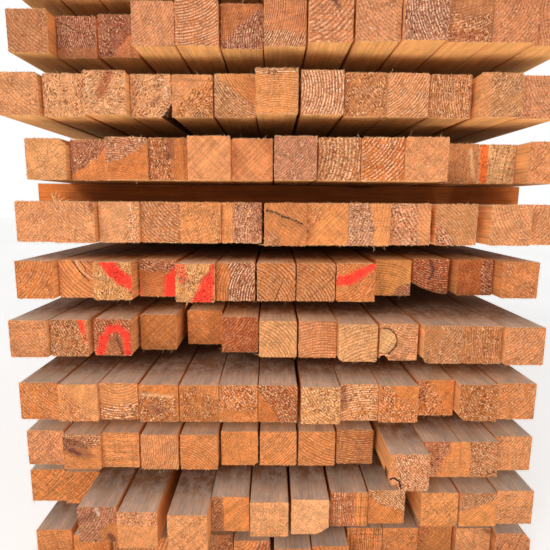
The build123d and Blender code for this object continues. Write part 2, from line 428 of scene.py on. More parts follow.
def tooth(base, along, across, length, width):
    """One short torn tooth on an edge: a closed three-sided spike."""
    depth = along.cross(across).normalized() * width
    points = [base - across * width, base + across * width, base + depth, base + along * length]
    return points, [(0, 2, 1), (0, 1, 3), (1, 2, 3), (2, 0, 3)]


THIRD_OF_TURN = 2.094


def sliver(base, along, length, width, bend, rng):
    """One torn fibre: a thin three-sided spike on a base that is sunk in the wood."""
    along = along.normalized()
    side = along.orthogonal().normalized()
    other = along.cross(side)
    turn = rng.uniform(0, 6)
    points = []
    for level, thick in ((0, 1), (0.55, 0.7)):
        middle = base + along * length * level + bend * level**2
        for i in range(3):
            angle = turn + i * THIRD_OF_TURN
            offset = side * math.cos(angle) + other * (0.5 * math.sin(angle))
            points.append(middle + offset * width * thick)
    points.append(base + along * length + bend)
    foot, sides = (0, 2, 1), [(0, 1, 4, 3), (1, 2, 5, 4), (2, 0, 3, 5)]
    return points, [foot, *sides, (3, 4, 6), (4, 5, 6), (5, 3, 6)]


def strip(path, near, far, thick):
    """A bent band of even thickness: its path lies across the stick and it runs a little along it."""
    points, faces = [], []
    for i, (x, z) in enumerate(path):
        before, after = path[max(i - 1, 0)], path[min(i + 1, len(path) - 1)]
        run = Vector((after[0] - before[0], after[1] - before[1])).normalized() * thick / 2
        for y, side in ((near, 1), (far, 1), (far, -1), (near, -1)):
            points.append(Vector((x - run.y * side, y, z + run.x * side)))
    last = len(points) - 4
    for a in range(0, last, 4):
        faces += [(a + j, a + (j + 1) % 4, a + 4 + (j + 1) % 4, a + 4 + j) for j in range(4)]
    faces += [(3, 2, 1, 0), (last, last + 1, last + 2, last + 3)]
    return points, faces


# Pieces

SHARP_FROM = math.radians(32)
END_KIND, SAWN_KIND, WANE_KIND, FIBRE_KIND = range(4)  # a face's kind is its place in MATERIALS


class Piece:
    """Gathers solids with what their materials read, then makes one mesh object."""

    def __init__(self, name, rows):
        self.name, self.rows = name, rows
        self.points, self.faces, self.kinds, self.charts = [], [], [], []
        self.values = {}

    def add(self, points, faces, kinds, charts, values):
        """Adds one stick: each face has a kind and a chart, each point a row of every value."""
        first, count = len(self.points), len(points)
        self.points += points
        self.faces += [tuple(first + i for i in face) for face in faces]
        self.kinds += kinds
        self.charts += charts
        for name, value in values.items():
            value = np.asarray(value, float)
            if value.ndim == 1:
                value = np.tile(value, (count, 1))
            self.values.setdefault(name, []).append(value)

    def make(self, materials, node):
        """Makes the object, which stands in for the node."""
        mesh = bpy.data.meshes.new(self.name)
        mesh.from_pydata([tuple(c * MM for c in p) for p in self.points], [], self.faces)
        for material in materials:
            mesh.materials.append(material)
        mesh.polygons.foreach_set("material_index", self.kinds)
        mesh.polygons.foreach_set("use_smooth", [True] * len(self.faces))
        for name, rows in self.values.items():
            rows = np.concatenate(rows)
            if rows.shape[1] == 4:
                layer = mesh.attributes.new(name, "FLOAT_COLOR", "POINT")
                layer.data.foreach_set("color", rows.ravel())
            else:
                layer = mesh.attributes.new(name, "FLOAT_VECTOR", "POINT")
                layer.data.foreach_set("vector", rows.ravel())
        layer = mesh.uv_layers.new(name="OFBake")
        layer.uv.foreach_set("vector", np.array([uv for chart in self.charts for uv in chart]).ravel())
        mesh.update()
        mesh.set_sharp_from_angle(angle=SHARP_FROM)
        piece = bpy.data.objects.new(self.name, mesh)
        bpy.context.scene.collection.objects.link(piece)
        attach(piece, "root")
        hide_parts(node)


END_FACES = ("front", "back")
SIDE_FACES = ("top", "bottom", "left", "right")
# Shares of the map
FIBRE_BAND = 0.03  # height of the band for fibres
FIBRE_STEP = 0.0061  # from one fibre to the next
FIBRE_CORNERS = (0, 0.0015, 0.0007)  # across, for a fibre's three edges
END_SHARE = 0.137  # width of an end's chart
CHART_GAP = 0.002  # bare rim left and right of a chart
END_RIM, SIDE_RIM = 0.03, 0.08  # bare rim above and below, as a share of the chart's height


def chart_of(face_points, kind, row, rows):
    """Where a face lies on the bake's map: x, along, z run from 0 to 1 over the stud."""
    tall = (1 - FIBRE_BAND) / rows
    base = FIBRE_BAND + row * tall
    found = []
    for x, y, z in face_points:
        if kind in END_FACES:
            left = END_FACES.index(kind) * END_SHARE + CHART_GAP
            u = left + x * (END_SHARE - 2 * CHART_GAP)
            v = END_RIM + (1 - 2 * END_RIM) * z
        else:
            band = SIDE_FACES.index(kind)
            across = x if band < 2 else z
            left = 2 * END_SHARE + 2 * CHART_GAP
            u = left + y * (1 - 2 * END_SHARE - 4 * CHART_GAP)
            v = (band + SIDE_RIM + (1 - 2 * SIDE_RIM) * across) / 4
        found.append((min(max(u, 0), 1), base + tall * min(max(v, 0), 1)))
    return found


def side_of(normal, ends_on):
    """The side of a stick that a face belongs to; ends_on is the axis that it runs along."""
    if abs(normal[ends_on]) > 0.75:
        return "front" if normal[ends_on] < 0 else "back"
    across = 1 - ends_on
    if abs(normal[2]) >= abs(normal[across]):
        return "top" if normal[2] > 0 else "bottom"
    return "right" if normal[across] > 0 else "left"


class Cuts(NamedTuple):
    """Where a stick's faces are cut up, in mm: across and up from its middle, near both ends, and
    how wide apart between those."""

    across: tuple
    up: tuple
    near: tuple
    wide: float


UP = 2  # the vertical axis
FACE_WEAR, EDGE_WEAR, LEAST_WEAR = 0.14, 0.3, 0.02
EDGE_BAND, END_BAND = 1.6, 3  # what lies as near as this to an edge or an end is at it
END_TRIM, END_LEAN = 0.4, 0.008  # how far an end is set back, and how much it may lean


class Stick:
    """One stud or sticker on its way into a piece: worn faces, torn edges and loose parts."""

    def __init__(self, piece, row, solid, axis, seed):
        self.piece, self.row, self.solid, self.seed = piece, row, solid, seed
        self.axis, self.across = axis, 1 - axis
        self.low, self.high = extent(solid)
        self.middle, self.span = (self.low + self.high) / 2, self.high - self.low
        self.origin = self.middle.copy()
        self.origin[axis] = self.low[axis]
        self.rng = random.Random(seed)
        self.points, self.faces, self.kinds, self.charts, self.rims = [], [], [], [], []

    def cut(self, cuts):
        """Cuts the faces up, so that they can be worn unevenly."""
        for direction, offsets in ((self.across, cuts.across), (UP, cuts.up)):
            cut_up(self.solid, direction, [self.middle[direction] + d for d in offsets])
        along = steps(self.low[self.axis], self.high[self.axis], cuts.near, cuts.wide)
        cut_up(self.solid, self.axis, along)
        self.solid.normal_update()

    def wear(self):
        """Sinks the faces unevenly, the edges more, and sets both ends back and aslant."""
        axis, across, middle = self.axis, self.across, self.middle
        shift = Vector((self.seed * 7.3, self.seed * 3.1, self.seed * 1.7))
        tilt = [self.rng.uniform(-END_LEAN, END_LEAN) for _ in range(2)]
        moved = {}
        for vert in self.solid.verts:
            place = vert.co
            wear = noise.noise(place * 0.11 + shift) * 0.5 + noise.noise(place * 0.4 + shift) * 0.5
            edges = sum(abs(abs(place[i] - middle[i]) - self.span[i] / 2) < EDGE_BAND for i in range(3))
            depth = (FACE_WEAR if edges < 2 else EDGE_WEAR) * (0.5 + 0.5 * wear)
            moved[vert] = place - vert.normal * max(depth, LEAST_WEAR)
            lean = tilt[0] * (place[across] - middle[across]) + tilt[1] * (place[UP] - middle[UP])
            for sign, end in ((1, self.low[axis]), (-1, self.high[axis])):
                if abs(place[axis] - end) < END_BAND:
                    moved[vert][axis] += sign * (END_TRIM + lean)
        for vert, spot in moved.items():
            vert.co = spot

    def take_faces(self):
        """Takes the worn faces over, and notes the edges of both ends."""
        axis, across, middle, span = self.axis, self.across, self.middle, self.span
        self.solid.verts.index_update()
        self.points += [tuple(v.co) for v in self.solid.verts]
        for face in self.solid.faces:
            side = side_of(face.normal, axis)
            centre = face.calc_center_median()
            out = sum(abs(centre[i] - middle[i]) / span[i] for i in (across, UP))
            oblique = min(abs(face.normal[across]), abs(face.normal[UP])) > 0.12
            waned = oblique and out < 0.955
            self.faces.append([v.index for v in face.verts])
            self.kinds.append(END_KIND if side in END_FACES else WANE_KIND if waned else SAWN_KIND)
            shares = [[(v.co[i] - self.low[i]) / span[i] for i in (across, axis, UP)] for v in face.verts]
            self.charts.append(chart_of(shares, side, self.row, self.piece.rows))
            if side in END_FACES:
                for edge in face.edges:
                    for other in edge.link_faces:
                        if other is not face and side_of(other.normal, axis) not in END_FACES:
                            self.rims.append((side, edge, other.normal.copy()))

    def keep(self, points, faces, kind):
        """Takes in one small loose shape, with its place in the map's band for fibres."""
        first = len(self.points)
        self.points += [tuple(p) for p in points]
        self.faces += [[first + i for i in face] for face in faces]
        self.kinds += [kind] * len(faces)
        place = (len(self.piece.charts) + len(self.charts)) * FIBRE_STEP
        u, v = place % 0.99, (place // 0.99 % 5) * FIBRE_BAND / 5
        for face in faces:
            corners = enumerate(face)
            self.charts.append([(u + FIBRE_CORNERS[i % 3], v + 0.0008 * (j + 1)) for j, i in corners])

    def fibre(self, base, out, forward, sideways):
        """A loose fibre on an end's edge. One in twenty is long."""
        rng = self.rng
        length = rng.uniform(3, 9) if rng.random() < 0.05 else rng.uniform(0.8, 3.0)
        along = out * rng.uniform(0.3, 1) + forward * rng.uniform(0, 0.8) + sideways * 0.5
        along.normalize()
        bend = sideways * rng.uniform(0, 0.25) * length
        return sliver(base - along * 0.5, along, length, rng.uniform(0.16, 0.42), bend, rng)

    def fray(self, fibres, teeth):
        """Sets fibres and torn teeth on the edges of both ends, most on the level edges in front."""
        rng = self.rng
        for side, share in (("front", 1.0), ("back", 0.5)):
            rims = [rim for rim in self.rims if rim[0] == side]
            weights = [edge.calc_length() * (1.0 if abs(out[UP]) > 0.6 else 0.45) for _, edge, out in rims]
            forward = Vector((0.0, 0.0, 0.0))
            forward[self.axis] = -1.0 if side == "front" else 1.0
            for number in range(int((fibres + teeth) * share)):
                _, edge, out = rng.choices(rims, weights)[0]
                start, stop = (v.co for v in edge.verts)
                base = start.lerp(stop, rng.random())
                sideways = Vector([rng.uniform(-1, 1) for _ in range(3)])
                if number < fibres * share:
                    points, faces = self.fibre(base, out, forward, sideways)
                else:
                    along = (out + forward * rng.uniform(-0.2, 0.3) + sideways * 0.3).normalized()
                    foot, run = base - along * 0.5 - forward * 0.4, (stop - start).normalized()
                    points, faces = tooth(foot, along, run, rng.uniform(0.9, 2.2), rng.uniform(0.3, 0.8))
                if all(cad_box[0][i] <= p[i] * MM <= cad_box[1][i] for p in points for i in range(3)):
                    self.keep(points, faces, FIBRE_KIND)

    def hang(self, strands, strips):
        """Adds the long strands and bent bands that some studs have."""
        origin = Vector(self.origin)
        for x, z, y, along, length, width, bend in strands:
            base = origin + Vector((x, y, z))
            self.keep(*sliver(base, Vector(along), length, width, Vector(bend), self.rng), FIBRE_KIND)
        for path, near, far, thick, kind in strips:
            points, faces = strip(path, near, far, thick)
            self.keep([origin + p for p in points], faces, kind)

    def hand_over(self, values):
        """Adds all to the piece. The grain is each point's place across, along and up."""
        grain = (np.array(self.points) - self.origin)[:, (self.across, self.axis, UP)]
        values = {**values, "grain": grain, "stick": (self.span[self.axis], 0, 0)}
        self.piece.add(self.points, self.faces, self.kinds, self.charts, values)


def add_stick(piece, row, solid, axis, seed, values, cuts, fibres, teeth, strands=(), strips=()):
    """Cuts up one solid, wears it a little, and adds it and its torn fibres to a piece."""
    stick = Stick(piece, row, solid, axis, seed)
    stick.cut(cuts)
    stick.wear()
    stick.take_faces()
    stick.fray(fibres, teeth)
    stick.hang(strands, strips)
    stick.hand_over(values)


# Materials


class Value:
    """A node's output. Each sign between two of them adds a node."""

    def __init__(self, tree, socket):
        self.tree, self.socket = tree, socket

    def __mul__(self, other):
        return self.tree.math("MULTIPLY", self, other)

    def __truediv__(self, other):
        return self.tree.math("DIVIDE", self, other)

    def __add__(self, other):
        return self.tree.math("ADD", self, other)

    def __sub__(self, other):
        return self.tree.math("SUBTRACT", self, other)

    def __rsub__(self, other):
        return self.tree.math("SUBTRACT", other, self)


class Tree:
    """A short way to write a material's nodes: each call adds one and gives its output."""

    def __init__(self, name):
        self.material = bpy.data.materials.new(name)
        self.material.use_nodes = True
        self.tree = self.material.node_tree
        self.shader = next(n for n in self.tree.nodes if n.type == "BSDF_PRINCIPLED")

    def put(self, socket, value):
        if isinstance(value, Value):
            self.tree.links.new(value.socket, socket)
        else:
            socket.default_value = value

    def add(self, kind, inputs, output=0, **settings):
        node = self.tree.nodes.new("ShaderNode" + kind)
        for name, value in settings.items():
            setattr(node, name, value)
        for key, value in inputs.items():
            self.put(node.inputs[key], value)
        return Value(self, node.outputs[output])

    def read(self, name, output="Vector"):
        return self.add("Attribute", {}, output, attribute_name=name)

    def parts(self, vector):
        node = self.tree.nodes.new("ShaderNodeSeparateXYZ")
        self.put(node.inputs[0], vector)
        return [Value(self, socket) for socket in node.outputs]

    def join(self, x, y, z):
        return self.add("CombineXYZ", {0: x, 1: y, 2: z})

    def math(self, operation, *values, clamp=False):
        return self.add("Math", dict(enumerate(values)), operation=operation, use_clamp=clamp)

    def vector(self, operation, *values):
        output = 1 if operation in ("LENGTH", "DISTANCE", "DOT_PRODUCT") else 0
        keys = (0, "Scale") if operation == "SCALE" else (0, 1, 2)
        return self.add("VectorMath", dict(zip(keys, values)), output, operation=operation)

    def mix(self, share, first, second, blend="MIX"):
        first, second = ((*v, 1) if isinstance(v, tuple) and len(v) == 3 else v for v in (first, second))
        return self.add("Mix", {0: share, 6: first, 7: second}, 2, data_type="RGBA", blend_type=blend)

    def ease(self, value, low, high, to_low=0.0, to_high=1.0):
        inputs = {0: value, 1: low, 2: high, 3: to_low, 4: to_high}
        return self.add("MapRange", inputs, interpolation_type="SMOOTHSTEP")

    def noise(self, vector, scale, detail=2.0, rough=0.5, output=0):
        inputs = {"Vector": vector, "Scale": scale, "Detail": detail, "Roughness": rough}
        return self.add("TexNoise", inputs, output)

    def spot(self, place, scale, seed):
        """A place in the wood, stretched for a noise and moved to the stick's own part of it."""
        return self.vector("ADD", self.vector("MULTIPLY", place, scale), seed)

    def wobble(self, vector, scale, reach, detail=2.0, rough=0.5):
        """A noise that pushes places about, by as much as half the reach either way."""
        push = self.noise(vector, scale, detail, rough, output=1)
        return self.vector("MULTIPLY", self.vector("SUBTRACT", push, (0.5, 0.5, 0.5)), reach)

    def shaded(self, colour, amount):
        """The colour times a grey amount."""
        return self.vector("SCALE", colour, amount)

    def tinted(self, colour, amounts):
        """The colour times an amount of red, of green and of blue."""
        return self.mix(1.0, colour, amounts, "MULTIPLY")

    def finish(self, colour, rough, height, depth):
        self.put(self.shader.inputs["Base Color"], colour)
        self.put(self.shader.inputs["Roughness"], rough)
        bump = self.add("Bump", {"Strength": 1.0, "Distance": depth * MM, "Height": height})
        self.put(self.shader.inputs["Normal"], bump)
        self.shader.inputs["Specular IOR Level"].default_value = 0.25
        return self.material


def ring_values(t):
    """A stick's places and seed, and of its year rings the share of late wood, the years from the
    pith and the place round it."""
    place, seed = t.read("grain"), t.read("seed")
    pith_x, pith_z, ring = t.parts(t.read("pith"))
    wander = t.wobble(t.spot(place, (0.03, 0.0016, 0.03), seed), 1.0, (5.0, 0.0, 5.0))
    shiver = t.wobble(t.spot(place, (0.16, 0.006, 0.16), seed), 1.0, (1.4, 0.0, 1.4))
    x, _, z = t.parts(t.vector("ADD", t.vector("ADD", place, wander), shiver))
    dx, dz = x - pith_x, z - pith_z
    radius = t.math("SQRT", dx * dx + dz * dz)
    outward = {"W": radius * 0.06, "Scale": 1.0, "Detail": 2.0}
    uneven = t.add("TexNoise", outward, noise_dimensions="1D")
    years = radius / ring + uneven * 1.2
    season = t.math("FRACT", years)
    late = t.ease(season, 0.45, 0.85) * t.ease(season, 1.0, 0.92)
    which = t.math("FLOOR", years) + t.parts(seed)[0] * 7.0
    luck = t.add("TexWhiteNoise", {"W": which}, noise_dimensions="1D")
    late = late * (luck * 0.65 + 0.4)
    turn = t.math("ARCTAN2", dz, dx) * 60.0
    return place, seed, late, years, turn


def mark_cover(t, number, flat, ragged, specks):
    """How much one mark covers: a stroke of some width with a ragged, broken edge."""
    x0, z0, width = t.parts(t.read(f"mark{number}_from"))
    x1, z1, soft = t.parts(t.read(f"mark{number}_to"))
    broken = t.parts(t.read(f"mark{number}_break"))[0]
    start, stop = t.join(x0, z0, 0.0), t.join(x1, z1, 0.0)
    run, out = t.vector("SUBTRACT", stop, start), t.vector("SUBTRACT", flat, start)
    square = t.vector("DOT_PRODUCT", run, run) + 0.001
    share = t.math("DIVIDE", t.vector("DOT_PRODUCT", out, run), square, clamp=True)
    far = t.vector("DISTANCE", out, t.vector("SCALE", run, share))
    reach = width * 0.5 - far + ragged * t.math("MINIMUM", width, 5.0)
    cover = t.ease(reach, soft * -1.0, soft)
    # Dry brushing: the thinner the paint, the more specks of wood stay bare.
    bare = broken * (1.25 - cover * 0.75)
    low, high = (bare * 0.5 + least for least in (0.2, 0.28))
    gaps = t.math("MAXIMUM", t.ease(specks, low, high), t.math("LESS_THAN", broken, 0.01))
    return cover * gaps


PAINTED_DEPTH = 40.0  # marks lie on the front end, so on nothing as far in as this


def end_material():
    t = Tree("pine_end_grain")
    place, seed, late, years, turn = ring_values(t)
    colour = t.read("tone", "Color")
    lines, fleck, speckle = t.parts(t.read("finish"))
    x, along, z = t.parts(place)
    seed_x, seed_y, seed_z = t.parts(seed)
    flat = t.join(x, z, 0.0)
    seeded = t.vector("ADD", flat, seed)
    flat = t.vector("ADD", flat, t.wobble(seeded, 0.25, (3.2, 3.2, 3.2), 3.0, 0.6))
    # The darker or lighter part of the end.
    zone_x, zone_z, zone_size = t.parts(t.read("zone"))
    swell = (t.noise(seeded, 0.06) - 0.5) * 9.0
    reach = zone_size - t.vector("DISTANCE", flat, t.join(zone_x, zone_z, 0.0))
    inside = t.ease(reach + swell, -1.1, 1.1) * t.math("GREATER_THAN", zone_size, 1.0)
    colour = t.mix(inside * 0.9, colour, t.read("zone_tone", "Color"))
    # Slow blotches, then the year rings.
    blotch = t.noise(seeded, 0.07, 3.0, 0.6)
    colour = t.shaded(colour, t.ease(blotch, 0.3, 0.7, 0.82, 1.14))
    worn = t.ease(t.noise(seeded, 0.22, 3.0, 0.65), 0.3, 0.6, 0.45, 1.05)
    colour = t.mix(late * lines * worn, colour, t.tinted(colour, (0.42, 0.25, 0.17)))
    early = t.math("POWER", 1.0 - t.math("FRACT", years), 2.0)
    colour = t.mix(early * lines, colour, t.tinted(colour, (1.1, 1.09, 1.07)))
    # Torn fibre: pale dashes that follow the rings, and grit of dark pits, their darkness painted shade,
    # and light tufts.
    year = t.math("FLOOR", years + 0.55)
    dash = t.join(turn * 0.3, year * 3.7, seed_x)
    wave = t.math("ABSOLUTE", t.math("FRACT", years) - 0.3)
    dashes = t.ease(t.noise(dash, 1.0, 2.0, 0.7), 0.44, 0.54) * t.ease(wave, 0.26, 0.12)
    torn_inside, torn_outside, _ = t.parts(t.read("torn"))
    torn = inside * (torn_inside - torn_outside) + torn_outside
    pale = t.mix(0.8, colour, srgb(250, 212, 176))
    colour = t.mix(dashes * fleck * torn, colour, pale)
    cosine, sine, sawn_strength = t.parts(t.read("hatch"))
    u = x * cosine + z * sine
    v = z * cosine - x * sine
    bent = (t.noise(seeded, 0.15, 2.0, 0.6) - 0.5) * 5.0
    stroke = t.vector("ADD", t.join(u * 0.62, v + bent, 0.0), seed)
    patch = t.ease(t.noise(seeded, 0.09, 3.0, 0.6), 0.38, 0.6, 0.35, 1.25)
    speckle = speckle * torn * patch
    cell = t.add("TexVoronoi", {"Vector": stroke, "Scale": 1.0}, "Color")
    pit_chance, tuft_chance, _ = t.parts(cell)
    pit_shade = t.math("MULTIPLY", t.ease(pit_chance, 0.3, 0.16), speckle, clamp=True)
    tuft = t.math("MULTIPLY", t.ease(tuft_chance, 0.68, 0.86), speckle, clamp=True)
    colour = t.mix(tuft * 0.62, colour, srgb(250, 206, 156))
    grit = t.noise(t.vector("ADD", place, seed), 0.5, 3.0, 0.75)
    grain = t.ease(grit, 0.3, 0.7) - 0.5
    colour = t.shaded(colour, grain * (speckle * 0.36 + 0.14) + 1.0)
    # Saw marks: two crossed sets at the end's own angle.
    first = t.noise(t.join(u * 0.012, v * 0.36, seed_y), 1.0, 1.0, 0.6)
    second = t.noise(t.join(v * 0.012, u * 0.3, seed_z), 1.0, 1.0, 0.6)
    first, second = t.ease(first, 0.42, 0.56), t.ease(second, 0.42, 0.56)
    sawn = first * 0.6 + second * 0.4
    colour = t.shaded(colour, (sawn - 0.55) * sawn_strength * 0.6 + 1.0)
    # Paint, cracks, stains and dirt, and marks of painted shade.
    front = t.math("LESS_THAN", along, PAINTED_DEPTH)
    ragged = t.noise(seeded, 0.35, 3.0, 0.7) - 0.5
    specks = t.noise(seeded, 0.5, 3.0, 0.75)
    for number in range(MARKS_PER_END):
        tint = t.read(f"mark{number}_tint", "Color")
        cover = mark_cover(t, number, flat, ragged, specks)
        colour = t.mix(cover * front * t.read(f"mark{number}_tint", "Alpha"), colour, tint)
    # Darkens the pits: painted shade in them.
    colour = t.mix(pit_shade, colour, t.tinted(colour, (0.45, 0.26, 0.17)))
    colour = t.shaded(colour, t.ease(grit, 0.3, 0.7, 0.9, 1.08))
    height = late * 0.4 + grit + speckle * (tuft - pit_shade) + sawn * 0.5
    return t.finish(colour, t.ease(grit, 0.3, 0.7, 0.72, 0.95), height, 0.7)


def sawn_material():
    t = Tree("pine_sawn_face")
    place, seed, late, *_ = ring_values(t)
    x, along, z = t.parts(place)
    length = t.parts(t.read("stick"))[0]
    to_end = t.math("MINIMUM", along, length - along)
    normal_z = t.parts(t.add("NewGeometry", {}, "Normal"))[UP]
    upward = t.ease(normal_z, 0.5, 0.8)
    downward = t.ease(normal_z * -1.0, 0.5, 0.8)
    level = upward + downward
    # Painted light and shade: faces are lighter near the ends and darker further in. Tops weather
    # grey-brown and undersides stay yellow.
    colour = t.shaded(t.read("body", "Color"), t.ease(to_end, 120.0, 5.0, 0.85, 1.3))
    # The tops' grey-brown runs from pale at the ends to dark further in: painted light and shade.
    weathered_and_shaded = t.mix(t.ease(to_end, 4.0, 70.0), srgb(232, 214, 194), srgb(134, 99, 77))
    colour = t.mix(upward * 0.85, colour, weathered_and_shaded)
    # The undersides' yellow is fresh wood, made bright as painted light from below.
    colour = t.mix(downward * 0.9, colour, srgb(238, 172, 102))
    colour = t.mix(late * (0.55 - level * 0.35), colour, t.tinted(colour, (0.7, 0.56, 0.48)))
    streak = t.noise(t.spot(place, (0.5, 0.006, 0.5), seed), 1.0, 4.0, 0.65)
    streaks = (t.ease(streak, 0.25, 0.75, 0.78, 1.18) - 1.0) * (1.0 - level * 0.3)
    colour = t.shaded(colour, streaks + 1.0)
    dust = t.noise(t.spot(place, (0.09, 0.05, 0.09), seed), 1.0, 4.0, 0.7)
    dusty = upward * t.ease(dust, 0.42, 0.62) * t.ease(to_end, 170.0, 20.0) * 0.6
    colour = t.mix(dusty, colour, srgb(204, 194, 184))
    cloud = t.noise(t.spot(place, (0.05, 0.012, 0.05), seed), 1.0, 4.0, 0.65)
    colour = t.shaded(colour, t.ease(cloud, 0.25, 0.75, 0.8, 1.16))
    # Knots, kept away from the ends.
    cell = t.spot(place, (0.016, 0.0042, 0.016), seed)
    knot = t.add("TexVoronoi", {"Vector": cell, "Scale": 1.0, "Randomness": 0.9}, "Distance")
    clear = t.ease(to_end, 150.0, 260.0)
    core = t.ease(knot, 0.15, 0.11) * clear
    halo = t.ease(knot, 0.26, 0.14) * clear
    colour = t.mix(halo * 0.45, colour, srgb(150, 92, 56))
    colour = t.mix(core * 0.85, colour, srgb(92, 50, 32))
    # Band saw marks across the face and woolly grain.
    cut = t.join(x * 0.02, along * 0.35, z * 0.02)
    saw = t.noise(cut, 1.0, 2.0, 0.6)
    colour = t.shaded(colour, t.ease(saw, 0.3, 0.7, 0.975, 1.025))
    wool = t.noise(t.spot(place, (0.7, 0.05, 0.7), seed), 1.0, 3.0, 0.7)
    colour = t.shaded(colour, t.ease(wool, 0.3, 0.7, 0.9, 1.1))
    height = wool * 0.6 + saw * 0.6 + late * -0.3
    return t.finish(colour, t.ease(wool, 0.3, 0.7, 0.7, 0.92), height, 0.4)


def wane_material():
    t = Tree("pine_wane")
    place, seed = t.read("grain"), t.read("seed")
    long = t.spot(place, (0.25, 0.02, 0.25), seed)
    ripple = t.noise(long, 1.0, 4.0, 0.6)
    colour = t.mix(ripple, srgb(196, 122, 66), srgb(226, 160, 98))
    # Bark, whose dark browns also stand as painted shadow in waned notches and under a curl.
    bark = t.parts(t.read("bark"))[0]
    scale = t.noise(t.spot(place, (0.3, 0.08, 0.3), seed), 1.0, 4.0, 0.7)
    bark_and_painted_shadow = t.mix(t.ease(scale, 0.35, 0.65), srgb(34, 20, 15), srgb(92, 60, 44))
    colour = t.mix(bark * t.ease(scale, 0.3, 0.5, 0.4, 1.0), colour, bark_and_painted_shadow)
    return t.finish(colour, t.ease(ripple, 0.3, 0.7, 0.5, 0.8), scale, 1.2)


def fibre_material():
    t = Tree("pine_fibres")
    place, seed = t.read("grain"), t.read("seed")
    tone = t.noise(t.vector("ADD", place, seed), 0.3, 2.0, 0.6)
    colour = t.mix(t.ease(tone, 0.35, 0.65), srgb(206, 138, 86), srgb(240, 200, 150))
    return t.finish(colour, t.ease(tone, 0.3, 0.7, 0.75, 0.95), tone, 0.05)


def finish_of(end):
    """How strong an end's ring lines, its torn pale dashes and its specks are."""
    least = 0.08 if end.fleck < 0.25 and end.hatch[1] > 0.5 else 0.22
    dashes = end.fleck * (0.2 + 1.4 * end.lines)
    specks = least + end.fleck * (1.15 - end.lines)
    return end.lines, min(1.0, dashes), min(1.0, specks)


def torn_sides(end):
    """How torn the fibre is inside and outside an end's zone: the darker wood tears more."""
    if not end.zone[2]:
        return (1, 1, 0)
    darker = sum(TONES[end.zone_tone]) < sum(TONES[end.tone])
    return (1.4, 0.3, 0) if darker else (0.3, 1.2, 0)


def mark_values(marks):
    """What the end material reads of an end's marks. A mark that isn't used has a width below 0."""
    unused = ("chalk", 0, 0, 1, 0, -90)
    values = {}
    for i in range(MARKS_PER_END):
        kind, x0, z0, x1, z1, width = marks[i] if i < len(marks) else unused
        tint, soft, broken = MARKS[kind]
        values[f"mark{i}_from"] = (x0, z0, width)
        values[f"mark{i}_to"] = (x1, z1, soft)
        values[f"mark{i}_tint"] = tint
        values[f"mark{i}_break"] = (broken, 0, 0)
    return values


MATERIALS = [end_material(), sawn_material(), wane_material(), fibre_material()]

# Studs

STUD_CUTS = Cuts((-22, -13, -4, 4, 13, 22), (-22, -13, -4, 4, 13, 22), (1.5, 5, 14, 35, 80), 170)
STUD_FIBRES, STUD_TEETH = 90, 60  # loose fibres and torn teeth on a front end's edges
TORN_LAYERS = {2: 220, 3: 150, 4: 150}  # teeth where there are more, by layer from the top
# On (2, 3) the dark bark in the waned notch is painted shadow.
BARK_AND_SHADOW = {(8, 9), (2, 3), (6, 10)}  # studs with bark on their waned corner
# How the photograph's light turns the tones of each layer, by layer from the top.
TURNED = {
    1: (0.87, 0.80, 0.85),
    2: (0.94, 0.96, 0.97),
    3: (0.93, 0.84, 0.79),
    4: (0.94, 0.94, 0.96),
    5: (0.84, 0.71, 0.53),
    6: (0.82, 0.76, 0.70),
    7: (0.83, 0.71, 0.51),
    8: (0.92, 0.88, 0.78),
    9: (1.08, 1.09, 1.03),
    10: (1.12, 1.02, 0.84),
}
# Long strands: place across, up and in from the front end; direction; length; width; bend.
STRANDS = {
    (1, 4): [(23, -24.5, 6, (0.3, -0.1, -1), 22, 0.5, (3, 0, 0))],
    (4, 1): [
        (-22, 24.5, 2, (-0.5, -0.1, 1), 17, 0.8, (6, 0, -2)),
        (-21, 24.5, 1, (0.3, -0.2, 1), 14, 0.7, (-5, 0, 0)),
        (-17, 24.5, 1, (0.7, -0.2, 1), 12, 0.6, (5, 0, -3)),
        (-23, 24.5, 3, (0.1, -0.1, 1), 19, 0.7, (4, 0, -4)),
        (-12, 24.5, 2, (0.9, -0.2, 0.5), 12, 0.6, (3, 0, -3)),
        (-19, 24.5, 4, (-0.8, -0.1, 0.7), 12, 0.7, (0, 0, 5)),
        (-6, 24.5, 2, (1, -0.1, 0.3), 11, 0.5, (2, 0, -2)),
        (-20, 24.5, 5, (0.5, -0.1, 0.7), 16, 0.6, (-6, 0, 3)),
    ],
    (4, 6): [
        (-24, -24, 3, (-1, -0.1, -0.05), 9, 0.9, (0, 0, 0)),
        (-24, -24.3, 5, (-1, -0.1, 0), 8, 0.8, (0, 0, 0)),
    ],
    (4, 8): [
        (20, -24.5, 2, (-0.2, -0.3, -1), 8, 0.4, (1.5, 0, 0)),
        (17, -24.5, 2, (0.5, -0.3, -1), 5, 0.3, (-1, 0, 0)),
    ],
    (5, 3): [(-20, 24.5, 2, (0.1, -0.2, 1), 7, 0.4, (1, 0, 0))],
    (5, 4): [
        (-10, -24, 1, (-0.15, -0.4, -1), 9, 1.3, (-1.5, 0, 0)),
        (12, -24.5, 1, (0.5, -0.3, -1), 5, 0.4, (2, 0, 1)),
    ],
    (7, 1): [(8, -24.5, 1, (0.1, -0.3, -1), 5, 0.3, (1, 0, 0))],
}
